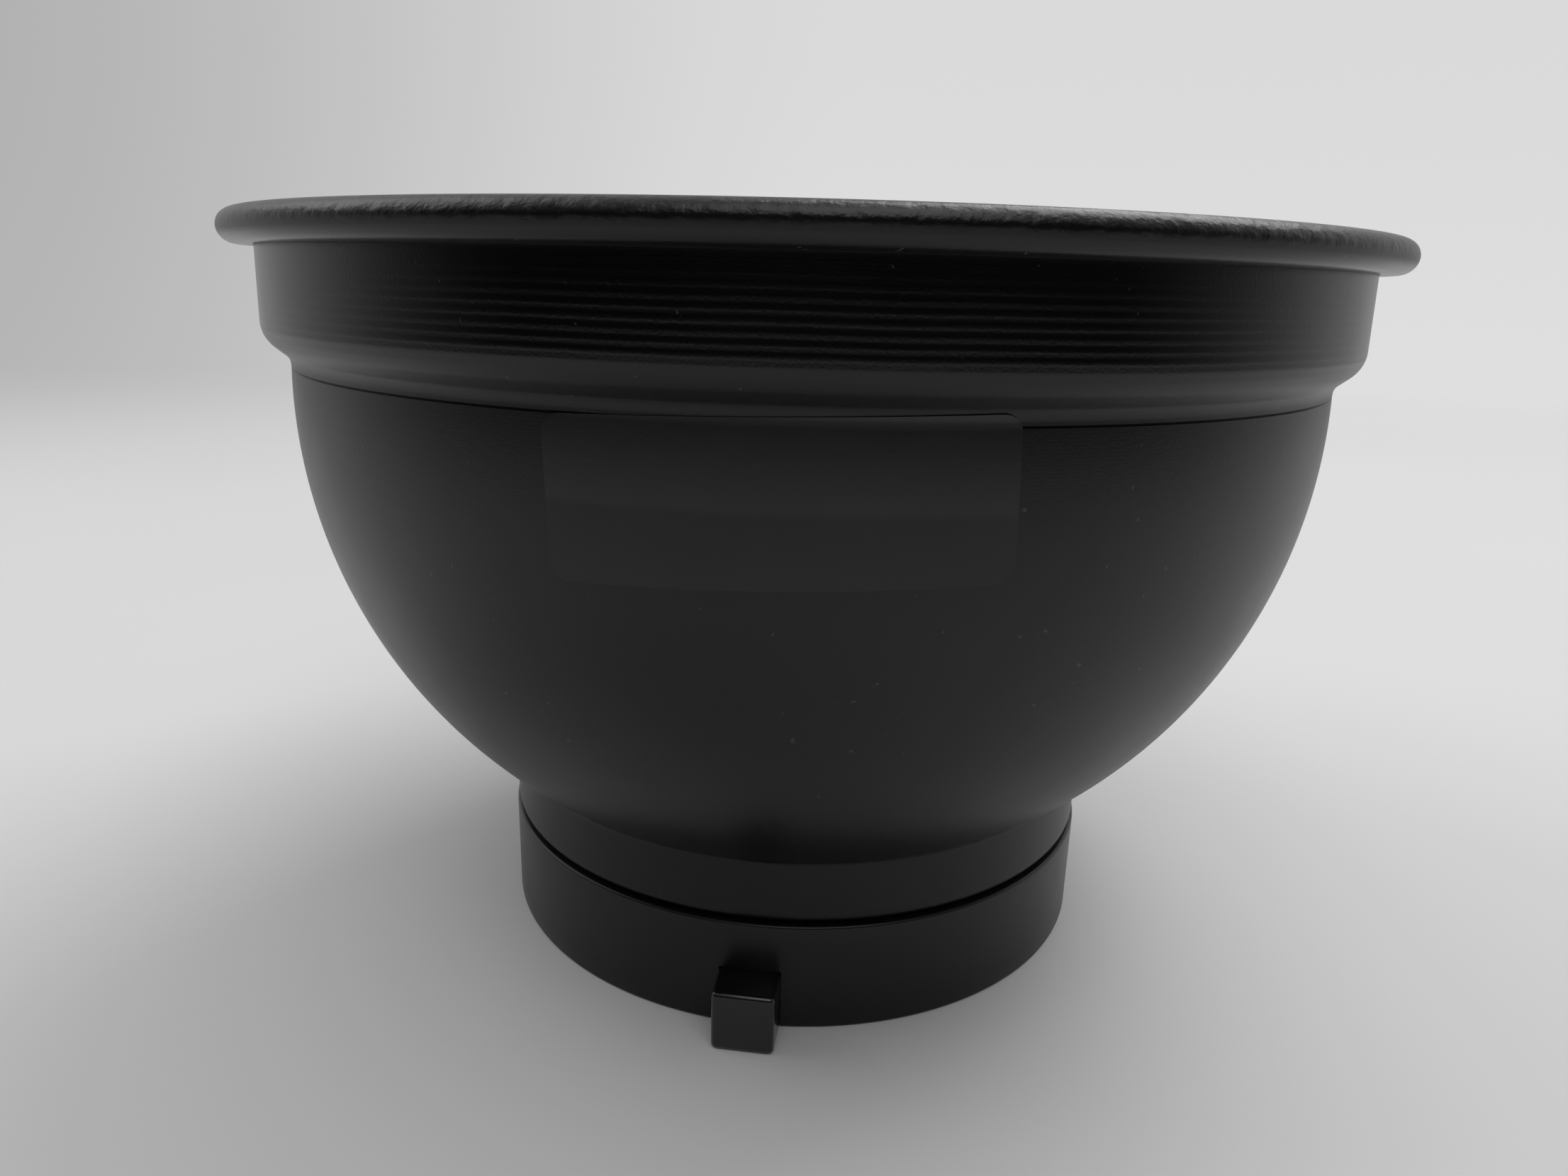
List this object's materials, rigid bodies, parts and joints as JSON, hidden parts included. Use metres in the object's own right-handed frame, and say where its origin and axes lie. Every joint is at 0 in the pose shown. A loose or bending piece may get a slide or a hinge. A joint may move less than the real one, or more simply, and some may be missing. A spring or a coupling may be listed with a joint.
{
  "type": "umbrella reflector",
  "caption": "Small round black metal reflector bowl with a stepped band and rolled rim, on a lugged bayonet ring for a studio flash head.",
  "frame": {"origin": "centre of the bayonet ring's bottom face, on which the reflector stands", "axes": "+Z is the reflector's axis, from the bayonet ring towards the open rim; -Y is the side with the label; +Y is the side with the umbrella shaft's opening"},
  "size_m": [0.1684, 0.1684, 0.1092],
  "materials": {
    "bowl_paint": "matte black paint outside and on the rim, satin silver inside",
    "ring_paint": "satin black",
    "lug_enamel": "semi-gloss black",
    "screw_steel": "black oxide",
    "washer_zinc": "zinc plate",
    "label_film": "matte black film"
  },
  "bodies": {
    "root": {"reflector_bowl": "bowl_paint", "mount_ring": "ring_paint", "label_film": "label_film", "lug_front": "lug_enamel", "lug_right": "lug_enamel", "lug_left": "lug_enamel", "lug_screw_front": "screw_steel", "lug_screw_right": "screw_steel", "lug_screw_left": "screw_steel", "flange_screw_1": "screw_steel", "flange_screw_2": "screw_steel", "flange_screw_3": "screw_steel", "flange_screw_4": "screw_steel", "flange_screw_5": "screw_steel", "flange_screw_6": "screw_steel", "flange_washer_1": "washer_zinc", "flange_washer_2": "washer_zinc", "flange_washer_3": "washer_zinc", "flange_washer_4": "washer_zinc", "flange_washer_5": "washer_zinc", "flange_washer_6": "washer_zinc"}
  },
  "joints": []
}
